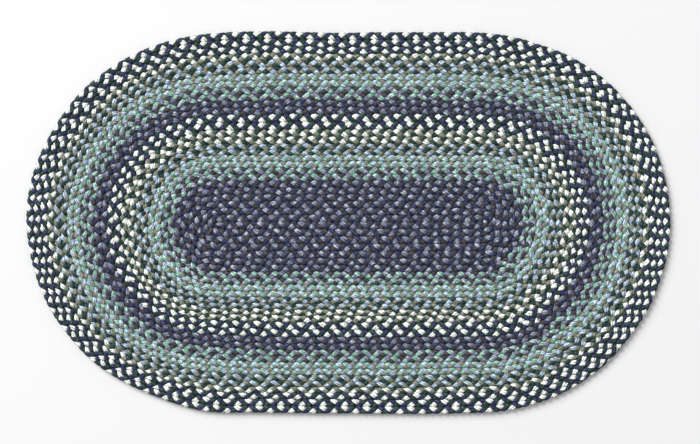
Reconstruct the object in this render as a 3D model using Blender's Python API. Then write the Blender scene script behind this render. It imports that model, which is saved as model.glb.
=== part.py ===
"""An oval braided rug, lying flat.

The rug is one long three-strand braid of soft yarn, coiled flat from the middle outwards and laced
to itself. Its middle row is straight. Every round after it is two straight rows joined by a turn at
each end, so the coil is an oval with straight sides. The solid is one slab: its upper side carries
the coil as a raised rib, its edge is the rounded side of the outer round, and its underside is flat.

Units are metres and Z is up. X runs along the rug and the origin is under its middle, on the floor.
"""
import math

import bmesh
import bpy
import numpy as np

# Driving dimensions of the rug.
LENGTH = 1.143
WIDTH = 0.679
THICKNESS = 0.0095

# The coil: the middle row, and 28 rows above and below it.
ROWS_PER_SIDE = 28
BRAID_WIDTH = WIDTH / (2 * ROWS_PER_SIDE + 1)
LEFT_TURN_X = -LENGTH / 2 + (ROWS_PER_SIDE + 0.5) * BRAID_WIDTH
RIGHT_TURN_X = LENGTH / 2 - ROWS_PER_SIDE * BRAID_WIDTH
RIGHT_TURN_Y = BRAID_WIDTH / 2

# The braid's rib, across its width from the inner groove to the outer one.
GROOVE_HEIGHT = 0.0058
RIB_SHOULDER = 0.2
RIB_PROFILE = (
    (-0.5, GROOVE_HEIGHT),
    (-RIB_SHOULDER, THICKNESS),
    (RIB_SHOULDER, THICKNESS),
    (0.5, GROOVE_HEIGHT),
)
UNDERSIDE_INSET = 0.0028

# Points along the braid.
STEPS_PER_TURN = 20
STEPS_PER_ROW = 4

# The outer end thins out over the last part of the coil and is tucked against the round inside it.
TAIL_STEPS = 8

# How the coil lies. The middle row sits a little below the rug's middle, and the edge wanders.
MIDDLE_ROW_DROP = 0.0043
EDGE_WANDER = (
    # direction from the middle in degrees, how far the edge stands out in metres
    (-170, -0.0035),
    (-156, -0.0065),
    (-140, -0.0100),
    (-122, 0.0000),
    (-100, 0.0013),
    (-72, 0.0030),
    (-52, 0.0008),
    (-41, 0.0000),
    (-26, 0.0050),
    (-4, 0.0028),
    (14, -0.0010),
    (32, -0.0040),
    (44, -0.0068),
    (60, -0.0005),
    (92, -0.0017),
    (115, 0.0005),
    (134, -0.0056),
    (158, -0.0040),
    (176, 0.0000),
)

YARN_COLOUR = (0.115, 0.150, 0.185, 1.0)
YARN_ROUGHNESS = 0.9

MERGE_DISTANCE = 0.0001


def clear_scene():
    """Remove what the scene holds."""
    for thing in list(bpy.data.objects):
        bpy.data.objects.remove(thing, do_unlink=True)


def coil_stations():
    """List the stations along the braid, from the middle row's left end to the outer end.

    Each is a foot point, the outward direction, the distance from the foot to the braid's middle
    line, and the braid's share of its full width.
    """
    stations = []

    def add_turn(foot, first_angle, distance, steps, widths):
        for step in range(steps):
            angle = math.radians(first_angle + 180 * step / STEPS_PER_TURN)
            outward = (math.cos(angle), math.sin(angle))
            stations.append((foot, outward, distance, widths[step]))

    def add_row(start_x, end_x, foot_y, side, distance):
        for step in range(STEPS_PER_ROW):
            x = start_x + (end_x - start_x) * step / STEPS_PER_ROW
            stations.append(((x, foot_y), (0.0, side), distance, 1.0))

    left_foot = (LEFT_TURN_X, 0.0)
    right_foot = (RIGHT_TURN_X, RIGHT_TURN_Y)
    full_width = [1.0] * STEPS_PER_TURN
    for row in range(ROWS_PER_SIDE + 1):
        if row > 0:
            add_row(RIGHT_TURN_X, LEFT_TURN_X, 0.0, 1.0, row * BRAID_WIDTH)
            add_turn(left_foot, 90, row * BRAID_WIDTH, STEPS_PER_TURN, full_width)
        right_distance = (row + 0.5) * BRAID_WIDTH
        add_row(LEFT_TURN_X, RIGHT_TURN_X, RIGHT_TURN_Y, -1.0, right_distance)
        if row < ROWS_PER_SIDE:
            add_turn(right_foot, -90, right_distance, STEPS_PER_TURN, full_width)
    tail_widths = [0.5 + 0.5 * math.cos(math.pi * step / TAIL_STEPS) for step in range(TAIL_STEPS)]
    tail_widths.append(0.0)
    add_turn(right_foot, -90, right_distance, TAIL_STEPS + 1, tail_widths)
    return stations


def edge_wander(angle):
    """How far the rug's edge stands out in this direction, between the rows of EDGE_WANDER."""
    last_angle, last_size = EDGE_WANDER[-1]
    last_angle -= 360
    for next_angle, next_size in EDGE_WANDER + ((EDGE_WANDER[0][0] + 360, EDGE_WANDER[0][1]),):
        if angle <= next_angle:
            share = (angle - last_angle) / (next_angle - last_angle)
            smooth = share * share * (3 - 2 * share)
            return last_size + (next_size - last_size) * smooth
        last_angle, last_size = next_angle, next_size
    return last_size


def outward_from_middle_row(x, y):
    """Direction and distance of a point from the rug's straight middle line."""
    across = x - min(max(x, LEFT_TURN_X), RIGHT_TURN_X)
    distance = math.hypot(across, y)
    if distance < MERGE_DISTANCE:
        return 0.0, 0.0, 0.0
    return across / distance, y / distance, distance


def settle(x, y):
    """Move a point of the even coil to where the uneven rug has it."""
    out_x, out_y, distance = outward_from_middle_row(x, y)
    reach = min(distance / (WIDTH / 2), 1.0)
    wander = edge_wander(math.degrees(math.atan2(y, x))) * reach ** 2
    drop = MIDDLE_ROW_DROP * (1 - reach ** 2)
    return x + out_x * wander, y + out_y * wander - drop


def place_skin(bm, stations):
    """Make the upper side: a grid along and across the braid, coiled so that its sides meet."""
    last = len(stations) - 1
    across_steps = len(RIB_PROFILE) - 1
    bmesh.ops.create_grid(bm, x_segments=last, y_segments=across_steps, size=1.0)
    for vert in bm.verts:
        foot, outward, distance, width = stations[round((vert.co.x + 1) / 2 * last)]
        offset, height = RIB_PROFILE[round((vert.co.y + 1) / 2 * across_steps)]
        reach = distance - BRAID_WIDTH / 2 + (offset + 0.5) * BRAID_WIDTH * width
        x, y = settle(foot[0] + outward[0] * reach, foot[1] + outward[1] * reach)
        vert.co = (x, y, GROOVE_HEIGHT + (height - GROOVE_HEIGHT) * width)
    bmesh.ops.remove_doubles(bm, verts=bm.verts, dist=MERGE_DISTANCE)


def boundary_loops(bm):
    """Split the skin's open edges into the small loop at the braid's start and the rug's edge."""
    start = settle(LEFT_TURN_X, 0.0)
    small, large = [], []
    for edge in bm.edges:
        if edge.is_boundary:
            middle = (edge.verts[0].co + edge.verts[1].co) / 2
            near = math.hypot(middle.x - start[0], middle.y - start[1]) < BRAID_WIDTH
            (small if near else large).append(edge)
    return small, large


def close_start(bm, edges):
    """Close the braid's rounded start, at the left end of the middle row."""
    face = bmesh.ops.contextual_create(bm, geom=edges)["faces"][0]
    middle = bmesh.ops.poke(bm, faces=[face])["verts"][0]
    x, y = settle(LEFT_TURN_X - RIB_SHOULDER * BRAID_WIDTH, 0.0)
    middle.co = (x, y, THICKNESS)


def close_underside(bm, edges):
    """Carry the rug's edge down and in to the floor, and close the flat underside."""
    grown = bmesh.ops.extrude_edge_only(bm, edges=edges)["geom"]
    foot_edges = [item for item in grown if isinstance(item, bmesh.types.BMEdge) and item.is_boundary]
    for vert in {vert for edge in foot_edges for vert in edge.verts}:
        out_x, out_y, _ = outward_from_middle_row(vert.co.x, vert.co.y)
        vert.co.x -= out_x * UNDERSIDE_INSET
        vert.co.y -= out_y * UNDERSIDE_INSET
        vert.co.z = 0.0
    bmesh.ops.contextual_create(bm, geom=foot_edges)


def centre_on_origin(bm):
    """Shift the rug so that the middle of its outline is over the origin."""
    points = np.array([vert.co[:2] for vert in bm.verts])
    middle = (points.min(axis=0) + points.max(axis=0)) / 2
    bmesh.ops.translate(bm, verts=bm.verts, vec=(-middle[0], -middle[1], 0.0))


def yarn_material():
    """Matt yarn in the rug's mean colour."""
    material = bpy.data.materials.new("braided_yarn")
    material.use_nodes = True
    shader = material.node_tree.nodes["Principled BSDF"]
    shader.inputs["Base Color"].default_value = YARN_COLOUR
    shader.inputs["Roughness"].default_value = YARN_ROUGHNESS
    shader.inputs["Metallic"].default_value = 0.0
    return material


def braided_rug(collection):
    """The coiled braid as one solid."""
    bm = bmesh.new()
    place_skin(bm, coil_stations())
    start_edges, rim_edges = boundary_loops(bm)
    close_start(bm, start_edges)
    close_underside(bm, rim_edges)
    bmesh.ops.triangulate(bm, faces=bm.faces)
    bmesh.ops.recalc_face_normals(bm, faces=bm.faces)
    centre_on_origin(bm)
    mesh = bpy.data.meshes.new("braided_rug")
    bm.to_mesh(mesh)
    bm.free()
    mesh.shade_smooth()
    mesh.materials.append(yarn_material())
    rug = bpy.data.objects.new("braided_rug", mesh)
    collection.objects.link(rug)
    return rug


clear_scene()
rug_collection = bpy.data.collections.new("Braided rug")
bpy.context.scene.collection.children.link(rug_collection)
braided_rug(rug_collection)
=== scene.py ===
"""The looks of an oval braided rug: three strands of jute yarn, plaited flat and coiled."""
import math

import bpy
import numpy as np
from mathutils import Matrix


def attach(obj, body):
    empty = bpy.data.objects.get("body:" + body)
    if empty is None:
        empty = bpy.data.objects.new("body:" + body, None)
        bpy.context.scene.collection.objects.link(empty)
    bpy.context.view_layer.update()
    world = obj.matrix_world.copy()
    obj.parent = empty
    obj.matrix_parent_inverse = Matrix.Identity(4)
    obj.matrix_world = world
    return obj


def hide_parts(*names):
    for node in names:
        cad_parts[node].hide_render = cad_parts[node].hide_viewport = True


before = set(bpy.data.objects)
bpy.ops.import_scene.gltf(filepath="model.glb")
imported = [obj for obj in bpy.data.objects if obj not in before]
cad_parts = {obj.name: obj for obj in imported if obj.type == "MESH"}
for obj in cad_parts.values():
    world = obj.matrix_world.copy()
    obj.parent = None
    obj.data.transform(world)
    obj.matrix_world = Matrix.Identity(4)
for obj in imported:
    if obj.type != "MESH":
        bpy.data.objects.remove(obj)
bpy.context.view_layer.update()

# ------------------------------------------------------------------------------------------------
# The coil. The maker lays a straight middle row and winds the braid round it, so every round is two
# rows and two turns. The outer end thins out and is tucked against the round inside it. Here the
# coil is a flat curve that the strands are bent along. Sizes are in metres, angles in degrees.
# ------------------------------------------------------------------------------------------------
RUG_LENGTH = 1.143
RUG_WIDTH = 0.679
ROUNDS = 28
BRAID_WIDTH = RUG_WIDTH / (2 * ROUNDS + 1)
LEFT_TURN_X = -RUG_LENGTH / 2 + (ROUNDS + 0.5) * BRAID_WIDTH
RIGHT_TURN_X = RUG_LENGTH / 2 - ROUNDS * BRAID_WIDTH
RIGHT_TURN_Y = BRAID_WIDTH / 2
HALF_TURN = 180.0
TURN_STEP = 4.0
ROW_STEPS = 24
START_REACH = 0.0046  # how far the middle row starts beyond the left turn's middle
START_LENGTH = 0.010  # the stretch over which the braid fills out at its start
START_PLUMPNESS = 0.60
TAIL_ANGLE = 72.0
TAIL_THINNING = 0.90
TAIL_DIVE = 6  # how late the steep half of the tuck comes


def turn_points(middle, radius, first_angle, sweep):
    """Points of one turn, without its last."""
    steps = round(sweep / TURN_STEP)
    angles = np.radians(first_angle + sweep * np.arange(steps) / steps)
    return np.c_[middle[0] + radius * np.cos(angles), middle[1] + radius * np.sin(angles)]


def row_points(from_x, to_x, y):
    """Points of one straight row, without its last."""
    x = np.linspace(from_x, to_x, ROW_STEPS, endpoint=False)
    return np.c_[x, np.full(ROW_STEPS, y)]


def points_so_far():
    return sum(len(part) for part in coil_parts)


coil_parts, round_starts, row_middles = [], [], {}
for number in range(ROUNDS + 1):
    out = number * BRAID_WIDTH
    if number > 0:
        row_middles["upper", number] = points_so_far() + ROW_STEPS // 2
        coil_parts.append(row_points(RIGHT_TURN_X, LEFT_TURN_X, out))
        coil_parts.append(turn_points((LEFT_TURN_X, 0.0), out, 90.0, HALF_TURN))
    row_middles["lower", number] = points_so_far() + ROW_STEPS // 2
    row_start = LEFT_TURN_X if number > 0 else LEFT_TURN_X - START_REACH
    coil_parts.append(row_points(row_start, RIGHT_TURN_X, -out))
    round_starts.append(points_so_far())
    coil_parts.append(turn_points((RIGHT_TURN_X, RIGHT_TURN_Y), (number + 0.5) * BRAID_WIDTH, -90.0,
                                  HALF_TURN if number < ROUNDS else TAIL_ANGLE))
tail = coil_parts[-1]
tail_middle = np.array((RIGHT_TURN_X, RIGHT_TURN_Y))
thinned = 0.5 - 0.5 * np.cos(np.pi * np.arange(len(tail)) / (len(tail) - 1))
tuck = 1.0 - (0.5 * thinned + 0.5 * thinned ** TAIL_DIVE) / (ROUNDS + 0.5)
coil_parts[-1] = tail_middle + (tail - tail_middle) * tuck[:, None]
coil_points = np.vstack(coil_parts)
coil_distance = np.r_[0.0, np.cumsum(np.linalg.norm(np.diff(coil_points, axis=0), axis=1))]
coil_length = coil_distance[-1]
round_distance = coil_distance[round_starts]

filled = np.sqrt(np.clip(coil_distance / START_LENGTH, 0.0, 1.0))
plumpness = np.ones(len(coil_points))
plumpness[-len(tail):] = 1.0 - TAIL_THINNING * thinned
plumpness *= START_PLUMPNESS + (1 - START_PLUMPNESS) * filled

coil_data = bpy.data.curves.new("coil", "CURVE")
coil_data.dimensions = "2D"
coil_data.use_radius = True
spline = coil_data.splines.new("POLY")
spline.points.add(len(coil_points) - 1)
flat_points = np.c_[coil_points, np.zeros(len(coil_points)), np.ones(len(coil_points))]
spline.points.foreach_set("co", flat_points.ravel())
spline.points.foreach_set("radius", plumpness)
coil_curve = bpy.data.objects.new("coil", coil_data)
bpy.context.scene.collection.objects.link(coil_curve)

# ------------------------------------------------------------------------------------------------
# One crossing of a strand. A strand is a soft flattened bundle of jute yarns. It crosses over the
# middle of the braid, dives under, rolls round the edge and comes back over, once to each side.
# That stretch of it is modelled once, as a six-sided tube whose rings follow the plait.
# ------------------------------------------------------------------------------------------------
CROSSING = 0.0380  # the length along the braid in which a strand goes to both edges and back
SWING = 0.00390  # how far it swings to each side
SHARPER_SWING = 0.08  # how much sharper than a plain wave the strand turns at the edges
LIFT = 0.00275  # how far it rises and dives
FLATTER_LIFT = 0.12  # and how much flatter it lies above and below
STRAND_SIDES = 6
EVEN_FACE_SHARE = 0.5  # half of a face of an even six-sided tube, as a share of its radius
FACE_SHARE = 0.68  # and of the wider upper and lower faces of the strand
FLAT_HALF_SIZE = (0.00430, 0.00200)  # half the strand's width and thickness where it lies flat
EDGE_HALF_SIZE = (0.00320, 0.00260)  # and where it rolls round the edge
RING_PHASES = (26, 66, 92, 116, 140, 166, 206, 246, 272, 296, 320, 346, 386)
ROLL_START = 40  # the phase at which the strand begins to roll over
ROLL_SWEEP = 85
TUBE_LENGTH = 1.0
PARKED = 10.0  # how far off a shaped ring waits, so that no other ring is selected with it


def smooth_step(share):
    share = np.clip(share, 0.0, 1.0)
    return share * share * (3 - 2 * share)


def select_points(mesh, chosen):
    """Leave only the points selected that a rule chooses, and go into edit mode."""
    bpy.ops.object.mode_set(mode="OBJECT")
    for thing in (mesh.vertices, mesh.edges, mesh.polygons):
        thing.foreach_set("select", np.zeros(len(thing), bool))
    for vertex in mesh.vertices:
        vertex.select = chosen(vertex.co)
    bpy.ops.object.mode_set(mode="EDIT")


def ringed_tube(name, sides, radius, rings):
    """An open tube along X, cut into evenly spaced rings, in edit mode."""
    bpy.ops.object.select_all(action="DESELECT")
    bpy.ops.mesh.primitive_cylinder_add(
        vertices=sides, radius=radius, depth=TUBE_LENGTH, end_fill_type="NOTHING",
        location=(TUBE_LENGTH / 2, 0.0, 0.0), rotation=(0.0, math.pi / 2, 0.0))
    tube = bpy.context.object
    tube.name = name
    bpy.ops.object.transform_apply(location=True, rotation=True, scale=True)
    bpy.ops.object.mode_set(mode="EDIT")
    bpy.ops.mesh.select_mode(type="EDGE")
    bpy.ops.mesh.select_all(action="DESELECT")
    bpy.ops.object.mode_set(mode="OBJECT")
    for edge in tube.data.edges:
        first, second = (tube.data.vertices[index].co for index in edge.vertices)
        edge.select = abs(first.x - second.x) > TUBE_LENGTH / 2
    bpy.ops.object.mode_set(mode="EDIT")
    bpy.ops.mesh.subdivide(number_cuts=rings - 2)
    bpy.ops.mesh.select_mode(type="VERT")
    return tube


def select_ring(tube, ring, rings):
    """Select one of the tube's rings, and give the place of its middle."""
    step = TUBE_LENGTH / (rings - 1)
    middle = (ring * step, 0.0, 0.0)
    select_points(tube.data, lambda co: abs(co.x - middle[0]) < step / 2)
    return middle


def turn_selected(axis, angle, middle):
    """Turn what is selected. With no window this operator turns the other way."""
    bpy.ops.transform.rotate(value=-angle, orient_axis=axis, center_override=middle)


def park_ring(middle, x, y, z):
    """Move the selected ring to its place in the shaped tube, parked away from the even one."""
    bpy.ops.transform.translate(value=(PARKED + x - middle[0], y, z))


def end_shaping():
    """Bring the parked rings back together, and turn all faces outward."""
    bpy.ops.mesh.select_all(action="SELECT")
    bpy.ops.transform.translate(value=(-PARKED, 0.0, 0.0))
    bpy.ops.mesh.normals_make_consistent(inside=False)
    bpy.ops.object.mode_set(mode="OBJECT")


crossing = ringed_tube("crossing", STRAND_SIDES, 1.0, len(RING_PHASES))
select_points(crossing.data, lambda co: abs(co.z) > EVEN_FACE_SHARE)
bpy.ops.transform.resize(value=(1.0, FACE_SHARE / EVEN_FACE_SHARE, 1.0),
                         center_override=(0.0, 0.0, 0.0))
for ring in reversed(range(len(RING_PHASES))):
    phase = math.radians(RING_PHASES[ring])
    reach_y = SWING * (math.sin(phase) - SHARPER_SWING * math.sin(3 * phase)) / (1 + SHARPER_SWING)
    slope_y = (2 * math.pi * SWING / CROSSING / (1 + SHARPER_SWING)
               * (math.cos(phase) - 3 * SHARPER_SWING * math.cos(3 * phase)))
    reach_z = (-LIFT * (math.sin(2 * phase) + FLATTER_LIFT * math.sin(6 * phase))
               / (1 - FLATTER_LIFT))
    slope_z = (-4 * math.pi * LIFT / CROSSING / (1 - FLATTER_LIFT)
               * (math.cos(2 * phase) + 3 * FLATTER_LIFT * math.cos(6 * phase)))
    rolled = (RING_PHASES[ring] - ROLL_START) / ROLL_SWEEP
    roll = -math.pi * (1 - smooth_step(rolled) + smooth_step(rolled - HALF_TURN / ROLL_SWEEP))
    edge_share = max(0.0, -math.cos(2 * phase)) ** 2
    half_width, half_thickness = (flat + (edge - flat) * edge_share
                                  for flat, edge in zip(FLAT_HALF_SIZE, EDGE_HALF_SIZE))
    middle = select_ring(crossing, ring, len(RING_PHASES))
    bpy.ops.transform.resize(value=(1.0, half_width, half_thickness), center_override=middle)
    turn_selected("X", roll, middle)
    turn_selected("Y", -math.atan(slope_z), middle)
    turn_selected("Z", math.atan(slope_y), middle)
    park_ring(middle, CROSSING * phase / (2 * math.pi), reach_y, reach_z)
end_shaping()

# ------------------------------------------------------------------------------------------------
# The yarn. Every strand is jute dyed in one colour, a bundle of plies that run along it. Here the
# plies, their twist, their loose fibres and the uneven dye are a pattern on each strand's own map,
# which counts metres along the strand one way and once round it the other.
# Shade between plies and deep in the creases is painted into the yarn's colour too.
# ------------------------------------------------------------------------------------------------
YARN_COLOURS = {
    # the two tones of plies in each strand in plain daylight, as a screen shows them
    "navy": ((43, 49, 75), (63, 68, 101)),
    "slate": ((111, 117, 138), (165, 171, 185)),
    "brown": ((58, 61, 69), (77, 70, 73)),
    "aqua": ((126, 168, 152), (174, 204, 196)),
    "light_blue": ((182, 202, 216), (146, 160, 187)),
    "dark_green": ((36, 57, 53), (58, 80, 78)),
    "tan": ((116, 126, 110), (144, 138, 130)),
    "cream": ((246, 251, 246), (224, 227, 216)),
}
PLIES = 8
PLY_LEAN = 14.0  # how many plies pass a straight line along a metre of strand

# How fine each pattern is: its grains along a metre of strand, and then across it or from ply to
# ply. A number that multiplies nothing only keeps the patterns from falling alike.
FIBRE_GRAIN = (160.0, 4.0, 3.7)
MOTTLE_GRAIN = (260.0, 5.0, 0.0)
DYE_GRAIN = (22.0, 5.0, 0.0)
PLY_TONE_GRAIN = (110.0, 7.3, 3.0)
HEATHER_GRAIN = (300.0, 2.2, 9.0)
TONE_BORDERS = (0.48, 0.60)
HEATHER_BORDERS = (0.35, 0.65)

# How light the yarn is: each pattern's share of its tone, with painted shade between two plies and
# deep in a crease.
LEAST_LIGHT = -0.105
FIBRE_LIGHT, MOTTLE_LIGHT, DYE_LIGHT, HEATHER_LIGHT = 0.76, 0.70, 0.30, 0.80
# painted shade in the groove between two plies
PLY_GROOVE_SHADE = 0.72
PAINTED_CREASE_LIGHT, PAINTED_OPEN_LIGHT = 0.36, 0.70
BRAID_HEIGHT = 0.0095
PAINTED_CREASE_REACH = 0.0028  # how far above and below mid-height the painted crease shade ends

# How rough the yarn is, and the relief of its plies, fibres and the twist within a ply.
LEAST_ROUGHNESS, FIBRE_ROUGHNESS = 0.80, 0.18
PLY_RELIEF, FIBRE_RELIEF, TWIST_RELIEF = 0.7, 0.4, 0.08
TWIST_ALONG, TWIST_ACROSS = 2600.0, 3.0  # in radians along a metre and across a ply
RELIEF_DEPTH = 0.0007
RELIEF_STRENGTH = 0.8
JUTE_GLOSS = 0.25
MIX_FIRST, MIX_SECOND = 6, 7  # the two colour sockets of a Mix node


def seen_colour(screen_colour):
    """The colour in the renderer's terms of a colour as a screen shows it."""
    shares = [value / 255 for value in screen_colour]
    return tuple(share / 12.92 if share <= 0.04045 else ((share + 0.055) / 1.055) ** 2.4
                 for share in shares)


class Wire:
    """A socket of a material's nodes, which can be reckoned with like a number."""

    def __init__(self, tree, socket=None):
        self.tree = tree
        self.socket = socket

    def node(self, kind, sockets, **settings):
        """Add a node of this kind: its settings first, then its sockets' values or links."""
        made = self.tree.nodes.new(f"ShaderNode{kind}")
        for setting, choice in settings.items():
            setattr(made, setting, choice)
        for place, given in sockets.items():
            if isinstance(given, Wire):
                self.tree.links.new(given.socket, made.inputs[place])
            else:
                made.inputs[place].default_value = given
        return Wire(self.tree, next(socket for socket in made.outputs if socket.enabled))

    def output(self, name):
        return Wire(self.tree, self.socket.node.outputs[name])

    def feed(self, shader, name):
        self.tree.links.new(self.socket, shader.inputs[name])

    def maths(self, operation, *values):
        return self.node("Math", dict(enumerate(values)), operation=operation)

    def __add__(self, other):
        return self.maths("ADD", self, other)

    __radd__ = __add__

    def __sub__(self, other):
        return self.maths("SUBTRACT", self, other)

    def __rsub__(self, other):
        return self.maths("SUBTRACT", other, self)

    def __mul__(self, other):
        return self.maths("MULTIPLY", self, other)

    __rmul__ = __mul__

    def __pow__(self, other):
        return self.maths("POWER", self, other)

    def __abs__(self):
        return self.maths("ABSOLUTE", self)

    def between(self, low, high):
        """0 below the first value, 1 above the second, and smooth in between."""
        return self.node("MapRange", {"Value": self, "From Min": low, "From Max": high},
                         interpolation_type="SMOOTHSTEP")

    def tones(self, first, second):
        """The first screen colour where this is 0, the second where it is 1."""
        return self.node("Mix", {"Factor": self, MIX_FIRST: (*seen_colour(first), 1.0),
                                 MIX_SECOND: (*seen_colour(second), 1.0)}, data_type="RGBA")


def noise(x, y, z, detail, roughness=0.5):
    """Soft noise at this place, whose grains are one wide."""
    return x.node("TexNoise", {"Vector": x.node("CombineXYZ", {0: x, 1: y, 2: z}),
                               "Scale": 1.0, "Detail": detail, "Roughness": roughness})


def new_material(name):
    """A material and its shader."""
    material = bpy.data.materials.new(name)
    material.use_nodes = True
    return material, material.node_tree.nodes["Principled BSDF"]


def yarn_material(name, tone, other_tone):
    """Matt jute in two near tones, ply by ply along the strand, with painted shade between plies
    and in the creases.
    """
    material, shader = new_material(f"{name}_jute")
    strand_map = Wire(material.node_tree).node("UVMap", {}, uv_map="yarn")
    place = strand_map.node("SeparateXYZ", {0: strand_map})
    along, around = place.output("X"), place.output("Y")
    heights = along.node("SeparateXYZ", {0: along.node("TexCoord", {}).output("Object")})

    ply = around * PLIES + along * PLY_LEAN
    ply_number = ply.maths("FLOOR", ply)
    ply_in_strand = ply.maths("MODULO", ply_number, PLIES)
    from_middle = abs(ply.maths("FRACT", ply) - 0.5) * 2.0
    fibres = noise(along * FIBRE_GRAIN[0], ply * FIBRE_GRAIN[1], ply_number * FIBRE_GRAIN[2],
                   detail=3.0, roughness=0.6)
    mottle = noise(along * MOTTLE_GRAIN[0], around * MOTTLE_GRAIN[1], MOTTLE_GRAIN[2], detail=2.0)
    dye = noise(along * DYE_GRAIN[0], DYE_GRAIN[1], DYE_GRAIN[2], detail=2.0)
    ply_tone = noise(along * PLY_TONE_GRAIN[0], ply_in_strand * PLY_TONE_GRAIN[1],
                     PLY_TONE_GRAIN[2], detail=1.0)
    heather = noise(along * HEATHER_GRAIN[0], ply * HEATHER_GRAIN[1], HEATHER_GRAIN[2], detail=1.0)
    # painted shade: the yarn is darker the nearer it lies to the braid's mid-height, deep in the
    # creases between strands, on both faces
    out_of_painted_crease = abs(heights.output("Z") - BRAID_HEIGHT / 2).between(0.0, PAINTED_CREASE_REACH)

    # the yarn's random tones, times painted shade between plies and painted shade deep in the
    # creases
    light = ((LEAST_LIGHT + fibres * FIBRE_LIGHT + mottle * MOTTLE_LIGHT + dye * DYE_LIGHT
              + heather.between(*HEATHER_BORDERS) * HEATHER_LIGHT)
             * (1.0 - PLY_GROOVE_SHADE * from_middle ** 2.0)
             * (PAINTED_CREASE_LIGHT + PAINTED_OPEN_LIGHT * out_of_painted_crease))
    colour = along.node("Mix", {
        "Factor": 1.0, MIX_FIRST: ply_tone.between(*TONE_BORDERS).tones(tone, other_tone),
        MIX_SECOND: along.node("CombineXYZ", {0: light, 1: light, 2: light})},
        data_type="RGBA", blend_type="MULTIPLY")
    colour.feed(shader, "Base Color")
    (LEAST_ROUGHNESS + FIBRE_ROUGHNESS * fibres).feed(shader, "Roughness")
    shader.inputs["Specular IOR Level"].default_value = JUTE_GLOSS

    twist = along.maths("SINE", along * TWIST_ALONG + ply * TWIST_ACROSS)
    relief = ((1.0 - from_middle ** 2.0) * PLY_RELIEF + fibres * FIBRE_RELIEF
              + twist * TWIST_RELIEF)
    along.node("Bump", {"Strength": RELIEF_STRENGTH, "Distance": RELIEF_DEPTH,
                        "Height": relief}).feed(shader, "Normal")
    return material


yarn_names = list(YARN_COLOURS)
yarn_materials = [yarn_material(name, *tones) for name, tones in YARN_COLOURS.items()]

# ------------------------------------------------------------------------------------------------
# The three strands, side by side a third of a crossing apart. The maker works a new colour into
# one strand at a time, early in a turn, so the bands of the rug change a little with every splice.
# The first colour of each strand is one piece, and all that follow it are another.
# ------------------------------------------------------------------------------------------------
STRAND_COLOURS = {
    # the yarns of each strand, with the round where each begins
    "strand_one": (("navy", 0), ("aqua", 7), ("dark_green", 11), ("brown", 17), ("tan", 21),
                   ("navy", 26)),
    "strand_two": (("slate", 0), ("light_blue", 9), ("cream", 13), ("slate", 17),
                   ("light_blue", 21), ("cream", 25)),
    "strand_three": (("brown", 0), ("tan", 9), ("navy", 15), ("aqua", 19), ("dark_green", 23)),
}
SPLICE_ANGLE = 25.0
SPLICE_STAGGER = 0.014
TIGHT_CROSSING = 0.0366  # the length of a crossing at the start of the braid
LOOSE_CROSSING = 0.0382  # and at its end
PLAIT_START = 0.5  # where in its first crossing the braid starts
BEFORE_START = -1  # the crossing that the start of every strand is cut from
FIRST_LINED_UP = 2  # the first round whose crossings are set against those of the round inside it
STEP_ON = {
    # how far the crossings of a row lie on from those of the row inside it
    ("upper", 26): 0.13, ("lower", 26): -0.43, ("upper", 27): 0.0, ("lower", 27): -0.17,
    ("upper", 28): 0.5, ("lower", 28): 0.5,
}
STEP_SWAY, STEP_TURN, STEP_PHASE = 0.35, 2.4, 0.7  # the same for all other rows, as a wave
IN_STEP = 0.72  # the same for the outer rounds at the lower right
IN_STEP_ANGLE = 44.0
IN_STEP_ROUNDS = (25, 26, 27, 28)
STRAND_WELD = 0.00005
PRESSED_HEIGHT = 0.0088
CROSSINGS_PER_STRIP = 25
STRIP_END_MARGIN = 0.005
STRIP_SIDE_MARGIN = 0.04
MIDDLE_ROW_DROP = 0.0043
NEXT_TO_NOTHING = 0.000001
EDGE_WANDER = (
    # direction from the middle in degrees, how far the edge stands out in metres
    (-170, -0.0035), (-156, -0.0065), (-140, -0.0100), (-122, 0.0000), (-100, 0.0013),
    (-72, 0.0030), (-52, 0.0000), (-41, -0.0010), (-26, 0.0015), (-4, -0.0007), (14, -0.0025),
    (32, -0.0040), (44, -0.0068), (60, -0.0005), (92, -0.0017), (115, 0.0005), (134, -0.0056),
    (158, -0.0040), (176, 0.0000),
)
ROW_WANDER = {
    # rounds from the middle, how far further out than even lacing the rows lie in metres
    "upper": ((0.0, 0.0), (7.0, 0.0017), (10.0, 0.0), (12.5, -0.0048), (15.0, -0.0036),
              (17.0, 0.0006), (21.0, -0.0005), (24.0, -0.0026), (27.0, -0.0016), (28.5, -0.0008)),
    "lower": ((0.0, 0.0), (4.5, 0.0054), (8.0, 0.0056), (10.0, 0.0046), (12.0, 0.0024),
              (14.0, 0.0000), (16.5, 0.0031), (18.5, 0.0022), (21.0, 0.0000), (23.5, -0.0010),
              (26.0, -0.0042), (28.5, -0.0034)),
}
SHIFT_GRAIN = 0.09
OTHER_SHIFT_GRAIN = 0.07
PLUMP_GRAIN = 0.007
HAND_SHIFT = 0.0030
UNEVEN_PLUMPNESS = 0.0010

# How many crossings the braid has had by the middle of each row. It is plaited tighter in the
# middle, and no two rounds line up their crossings in quite the same way.
row_distance = {row: coil_distance[index] for row, index in row_middles.items()}
loosening = (LOOSE_CROSSING - TIGHT_CROSSING) / coil_length


def even_crossings(distance):
    """How many crossings an evenly loosening braid has by this distance."""
    return math.log(1 + loosening * distance / TIGHT_CROSSING) / loosening


crossings_so_far = {}
for row, distance in row_distance.items():
    side, number = row
    even = even_crossings(distance)
    if number < FIRST_LINED_UP:
        crossings_so_far[row] = even
        continue
    before = crossings_so_far[side, number - 1]
    step_on = STEP_ON.get(row, STEP_SWAY * math.sin(STEP_TURN * number + STEP_PHASE))
    crossings_so_far[row] = before + step_on + round(even - before - step_on)
distance_marks = np.array([0.0, *row_distance.values()])
crossing_marks = np.array([0.0, *crossings_so_far.values()])

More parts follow.
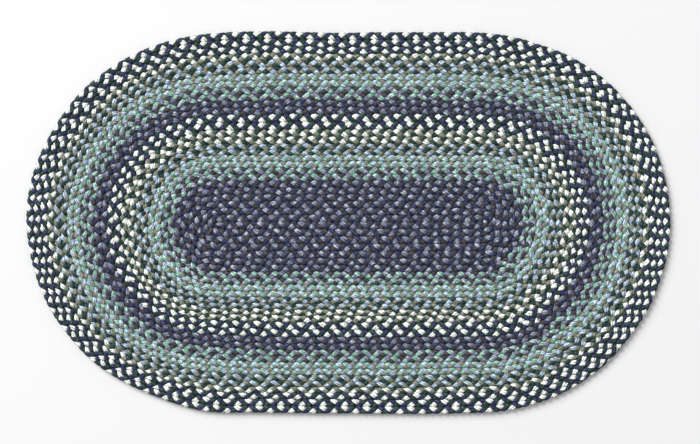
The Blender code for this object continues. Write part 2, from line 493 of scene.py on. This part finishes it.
# Round the lower right of the rug the outer rounds keep in step, so their patches meet in pairs.
turn_distance = [coil_distance[round_starts[number] + round(IN_STEP_ANGLE / TURN_STEP)]
                 for number in IN_STEP_ROUNDS]
turn_crossings = [np.interp(turn_distance[0], distance_marks, crossing_marks)]
for number in IN_STEP_ROUNDS[1:]:
    step_on = (IN_STEP - STEP_ON["lower", number] + 0.5) % 1.0 - 0.5
    turn_crossings.append(turn_crossings[-1] + crossings_so_far["lower", number]
                          - crossings_so_far["lower", number - 1] + step_on)
distance_marks = np.r_[distance_marks, turn_distance, coil_length]
crossing_marks = np.r_[crossing_marks, turn_crossings, turn_crossings[-1]
                       + even_crossings(coil_length) - even_crossings(turn_distance[-1])]
crossing_marks = PLAIT_START + crossing_marks[np.argsort(distance_marks)]
distance_marks = np.sort(distance_marks)
crossing_count = int(crossing_marks[-1]) - 1


def splice_distance(number, place):
    """How far along the coil a strand's yarn for this round is worked in."""
    turn_radius = (number - 0.5) * BRAID_WIDTH
    return (round_distance[number - 1] + turn_radius * math.radians(SPLICE_ANGLE)
            + place * SPLICE_STAGGER)


def settled(points):
    """Where the uneven rug has the points of the even coil."""
    across = points[:, 0] - np.clip(points[:, 0], LEFT_TURN_X, RIGHT_TURN_X)
    distance = np.maximum(np.hypot(across, points[:, 1]), NEXT_TO_NOTHING)
    reach = np.minimum(distance / (RUG_WIDTH / 2), 1.0)
    table = np.array(EDGE_WANDER)
    table = np.vstack((table[-1] - (360, 0), table, table[0] + (360, 0)))
    angle = np.degrees(np.arctan2(points[:, 1], points[:, 0]))
    row = np.clip(np.searchsorted(table[:, 0], angle) - 1, 0, len(table) - 2)
    share = smooth_step((angle - table[row, 0]) / (table[row + 1, 0] - table[row, 0]))
    wander = (table[row, 1] + (table[row + 1, 1] - table[row, 1]) * share) * reach ** 2
    for side, rows in ROW_WANDER.items():
        facing = np.maximum(points[:, 1] / distance * (1 if side == "upper" else -1), 0.0)
        wander += facing ** 2 * np.interp(distance / BRAID_WIDTH, *zip(*rows))
    moved = points.copy()
    moved[:, 0] += across / distance * wander
    moved[:, 1] += points[:, 1] / distance * wander - MIDDLE_ROW_DROP * (1 - reach ** 2)
    return moved


def read_all(things, what, width=1, kind=float):
    """A number, or so many in a row, of all the points, corners or faces of a mesh."""
    values = np.empty(width * len(things), kind)
    things.foreach_get(what, values)
    return values.reshape(-1, width) if width > 1 else values


def put_points(mesh, places):
    mesh.vertices.foreach_set("co", places.ravel())
    mesh.update()
    mesh.shade_smooth()


def end_to_end(piece, count, length, weld, sides):
    """Repeat the piece along X, weld it, close both its ends and stay in edit mode."""
    repeat = piece.modifiers.new("repeat", "ARRAY")
    repeat.count = count
    repeat.use_relative_offset = False
    repeat.use_constant_offset = True
    repeat.constant_offset_displace = (length, 0.0, 0.0)
    repeat.use_merge_vertices = True
    repeat.merge_threshold = weld
    bpy.ops.object.modifier_apply(modifier="repeat")
    bpy.ops.object.mode_set(mode="EDIT")
    bpy.ops.mesh.select_all(action="SELECT")
    bpy.ops.mesh.fill_holes(sides=sides)


def strip_map(mesh, start, repeat, per_strip):
    """Map the piece flat for its finish: what repeats lies end to end, in strips."""
    around = read_all(mesh.uv_layers[0].data, "uv", 2)[:, 0]
    corners = read_all(mesh.loops, "vertex_index", kind=np.int32)
    face_sides = read_all(mesh.polygons, "loop_total", kind=np.int32)
    face_x = read_all(mesh.polygons, "center", 3)[:, 0]
    number = np.maximum(np.floor((face_x - start) / repeat), 0.0).repeat(face_sides)
    along = (read_all(mesh.vertices, "co", 3)[corners, 0] - start) / repeat - number
    strips = number.max() // per_strip + 1
    flat_map = mesh.uv_layers.new(name="OFBake")
    flat_map.data.foreach_set("uv", np.c_[
        STRIP_END_MARGIN + (1 - 2 * STRIP_END_MARGIN) * (number % per_strip + along) / per_strip,
        (number // per_strip + STRIP_SIDE_MARGIN + (1 - 2 * STRIP_SIDE_MARGIN) * around) / strips
    ].ravel())


def bent_along_coil(piece):
    """Bend the straight piece along the coil, and give where its points settle."""
    follow = piece.modifiers.new("follow", "CURVE")
    follow.object = coil_curve
    follow.deform_axis = "POS_X"
    bpy.ops.object.modifier_apply(modifier="follow")
    return settled(read_all(piece.data.vertices, "co", 3))


def laid_strand(name, place, first, last):
    """Repeat the crossing from one number to another, and lay the strand along the coil."""
    bpy.ops.object.select_all(action="DESELECT")
    strand = crossing.copy()
    strand.data = crossing.data.copy()
    strand.name = strand.data.name = name
    bpy.context.scene.collection.objects.link(strand)
    bpy.context.view_layer.objects.active = strand
    strand.select_set(True)
    shift = place / len(STRAND_COLOURS)
    end_to_end(strand, last - first, CROSSING, STRAND_WELD, STRAND_SIDES)
    if first == BEFORE_START:
        bpy.ops.mesh.bisect(plane_co=((PLAIT_START - first - shift) * CROSSING, 0.0, 0.0),
                            plane_no=(1.0, 0.0, 0.0), use_fill=True, clear_inner=True)
    bpy.ops.object.mode_set(mode="OBJECT")

    mesh = strand.data
    strip_map(mesh, RING_PHASES[0] / 360 * CROSSING, CROSSING, CROSSINGS_PER_STRIP)
    places = read_all(mesh.vertices, "co", 3)
    number = places[:, 0] / CROSSING + first + shift
    places[:, 0] = np.interp(number, crossing_marks, distance_marks)
    mesh.vertices.foreach_set("co", places.ravel())
    corners = read_all(mesh.loops, "vertex_index", kind=np.int32)
    around = read_all(mesh.uv_layers[0].data, "uv", 2)[:, 0]
    yarn_map = mesh.uv_layers.new(name="yarn")
    yarn_map.data.foreach_set("uv", np.c_[places[corners, 0], around].ravel())
    for slot in yarn_materials:
        mesh.materials.append(slot)
    face_distance = read_all(mesh.polygons, "center", 3)[:, 0]
    slots = np.zeros(len(mesh.polygons), np.int32)
    for yarn, begins in STRAND_COLOURS[name.rsplit("_", 1)[0]]:
        splice = splice_distance(begins, place) if begins else -math.inf
        slots[face_distance > splice] = yarn_names.index(yarn)
    mesh.polygons.foreach_set("material_index", slots)

    places = bent_along_coil(strand)
    pressed = np.clip(places[:, 2], -PRESSED_HEIGHT / 2, PRESSED_HEIGHT / 2)
    places[:, 2] = BRAID_HEIGHT / 2 + pressed
    put_points(mesh, places)
    return strand


def clouds(name, grain):
    texture = bpy.data.textures.new(name, "CLOUDS")
    texture.noise_scale = grain
    return texture


even_clouds = clouds("even_clouds", SHIFT_GRAIN)
odd_clouds = clouds("odd_clouds", OTHER_SHIFT_GRAIN)
odd_clouds.noise_basis = "ORIGINAL_PERLIN"
plump_clouds = clouds("plump_clouds", PLUMP_GRAIN)


def hand_laid(piece, *unevenness):
    """Shift the piece a little, as hands leave it: each is a direction, clouds and a size."""
    bpy.ops.object.select_all(action="DESELECT")
    bpy.context.view_layer.objects.active = piece
    piece.select_set(True)
    for direction, texture, size in unevenness:
        uneven = piece.modifiers.new("uneven", "DISPLACE")
        uneven.direction = direction
        uneven.texture = texture
        uneven.texture_coords = "LOCAL"
        uneven.strength = size
        bpy.ops.object.modifier_apply(modifier="uneven")


strands = []
for place, (name, runs) in enumerate(STRAND_COLOURS.items()):
    second_yarn = splice_distance(runs[1][1], place)
    split = round(np.interp(second_yarn, distance_marks, crossing_marks)
                  - place / len(STRAND_COLOURS))
    strands.append(laid_strand(f"{name}_middle", place, BEFORE_START, split))
    strands.append(laid_strand(f"{name}_rounds", place, split, crossing_count))
bpy.data.objects.remove(crossing)
for strand in strands:
    hand_laid(strand, ("X", even_clouds, HAND_SHIFT), ("Y", odd_clouds, HAND_SHIFT),
              ("NORMAL", plump_clouds, UNEVEN_PLUMPNESS))
    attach(strand, "root")
    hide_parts("braided_rug")

# ------------------------------------------------------------------------------------------------
# The lacing thread. It runs in the groove inside every round and sews it to the round within, in
# zigzag stitches that bridge the groove and sink into the yarn at both ends. It is thin cotton.
# ------------------------------------------------------------------------------------------------
STITCH = 0.0090
STITCH_REACH = 0.0024
STITCH_TOP = 0.0070
STITCH_FOOT = 0.0040
STITCH_PATH = (
    # the side of the groove and the height at each ring of a stitch
    (-1.0, STITCH_FOOT), (0.0, STITCH_TOP), (1.0, STITCH_FOOT), (0.0, STITCH_TOP),
    (-1.0, STITCH_FOOT),
)
STITCHES_PER_STRIP = 80
THREAD_SIDES = 3
THREAD_RADIUS = 0.00042
THREAD_WELD = 0.00001
THREAD_TONES = ((86, 83, 76), (128, 123, 112))
THREAD_TONE_BORDERS = (0.35, 0.65)
LINT_GRAIN, LINT_SHARE = 900.0, 0.7
HANDLING_GRAIN, HANDLING_SHARE = 30.0, 0.3
LEAST_THREAD_ROUGHNESS, LINT_ROUGHNESS = 0.62, 0.20
LINT_DEPTH = 0.0002
LINT_STRENGTH = 0.5

thread = ringed_tube("lacing_thread", THREAD_SIDES, THREAD_RADIUS, len(STITCH_PATH))
for ring in reversed(range(len(STITCH_PATH))):
    side, height = STITCH_PATH[ring]
    middle = select_ring(thread, ring, len(STITCH_PATH))
    park_ring(middle, ring / (len(STITCH_PATH) - 1) * STITCH,
              BRAID_WIDTH / 2 + side * STITCH_REACH, height)
end_shaping()
thread_start = round_distance[0] + BRAID_WIDTH / 2 * math.pi
end_to_end(thread, int((coil_length - thread_start) / STITCH), STITCH, THREAD_WELD, THREAD_SIDES)
bpy.ops.object.mode_set(mode="OBJECT")
strip_map(thread.data, 0.0, STITCH, STITCHES_PER_STRIP)
bpy.ops.object.mode_set(mode="EDIT")
bpy.ops.transform.translate(value=(thread_start, 0.0, 0.0))
bpy.ops.object.mode_set(mode="OBJECT")
put_points(thread.data, bent_along_coil(thread))
bpy.data.objects.remove(coil_curve)
hand_laid(thread, ("X", even_clouds, HAND_SHIFT), ("Y", odd_clouds, HAND_SHIFT))

thread_material, thread_shader = new_material("lacing_cotton")
thread_place = Wire(thread_material.node_tree).node("TexCoord", {}).output("Object")
lint = thread_place.node("TexNoise", {"Vector": thread_place, "Scale": LINT_GRAIN, "Detail": 2.0})
handling = thread_place.node("TexNoise", {"Vector": thread_place, "Scale": HANDLING_GRAIN,
                                          "Detail": 1.0})
worn = (lint * LINT_SHARE + handling * HANDLING_SHARE).between(*THREAD_TONE_BORDERS)
worn.tones(*THREAD_TONES).feed(thread_shader, "Base Color")
(LEAST_THREAD_ROUGHNESS + LINT_ROUGHNESS * lint).feed(thread_shader, "Roughness")
lint.node("Bump", {"Strength": LINT_STRENGTH, "Distance": LINT_DEPTH,
                   "Height": lint}).feed(thread_shader, "Normal")
thread.data.materials.append(thread_material)
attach(thread, "root")

# ------------------------------------------------------------------------------------------------
# A plain pale floor, soft studio light from the upper left, and the camera straight above with the
# rug where the photograph has it.
# ------------------------------------------------------------------------------------------------
FLOOR_SIZE = 12.0
FLOOR_COLOUR = (0.775, 0.775, 0.78, 1.0)
FLOOR_ROUGHNESS = 0.6
DAYLIGHT_COLOUR = (1.0, 1.0, 1.0, 1.0)
DAYLIGHT = 0.515
SOFTBOX_SIZE = 10.5
SOFTBOX_POWER = 3980.0
SOFTBOX_PLACE = (-10.2, 9.9, 9.9)
PHOTO_WIDTH, PHOTO_HEIGHT = 700, 444
RUG_PIXELS_LONG = 643
RUG_MIDDLE_PIXEL = (348.5, 222.8)
CAMERA_HEIGHT = 3.0
SENSOR_WIDTH = 36.0

bpy.ops.object.select_all(action="DESELECT")
bpy.ops.mesh.primitive_plane_add(size=FLOOR_SIZE)
floor = bpy.context.object
floor.name = "floor"
floor_material, floor_shader = new_material("pale_floor")
floor_shader.inputs["Base Color"].default_value = FLOOR_COLOUR
floor_shader.inputs["Roughness"].default_value = FLOOR_ROUGHNESS
floor.data.materials.append(floor_material)

world = bpy.data.worlds.new("studio")
world.use_nodes = True
world.node_tree.nodes["Background"].inputs["Color"].default_value = DAYLIGHT_COLOUR
world.node_tree.nodes["Background"].inputs["Strength"].default_value = DAYLIGHT
bpy.context.scene.world = world

softbox_data = bpy.data.lights.new("softbox", "AREA")
softbox_data.shape = "DISK"
softbox_data.size = SOFTBOX_SIZE
softbox_data.energy = SOFTBOX_POWER
softbox = bpy.data.objects.new("softbox", softbox_data)
softbox.location = SOFTBOX_PLACE
softbox.rotation_euler = (-softbox.location).to_track_quat("-Z", "Y").to_euler()
bpy.context.scene.collection.objects.link(softbox)

metres_per_pixel = RUG_LENGTH / RUG_PIXELS_LONG
camera_data = bpy.data.cameras.new("camera")
camera_data.sensor_width = SENSOR_WIDTH
camera_data.lens = SENSOR_WIDTH * CAMERA_HEIGHT / (PHOTO_WIDTH * metres_per_pixel)
camera = bpy.data.objects.new("camera", camera_data)
camera.location = ((PHOTO_WIDTH / 2 - RUG_MIDDLE_PIXEL[0]) * metres_per_pixel,
                   (RUG_MIDDLE_PIXEL[1] - PHOTO_HEIGHT / 2) * metres_per_pixel, CAMERA_HEIGHT)
bpy.context.scene.collection.objects.link(camera)
bpy.context.scene.camera = camera
bpy.context.scene.view_settings.view_transform = "Standard"
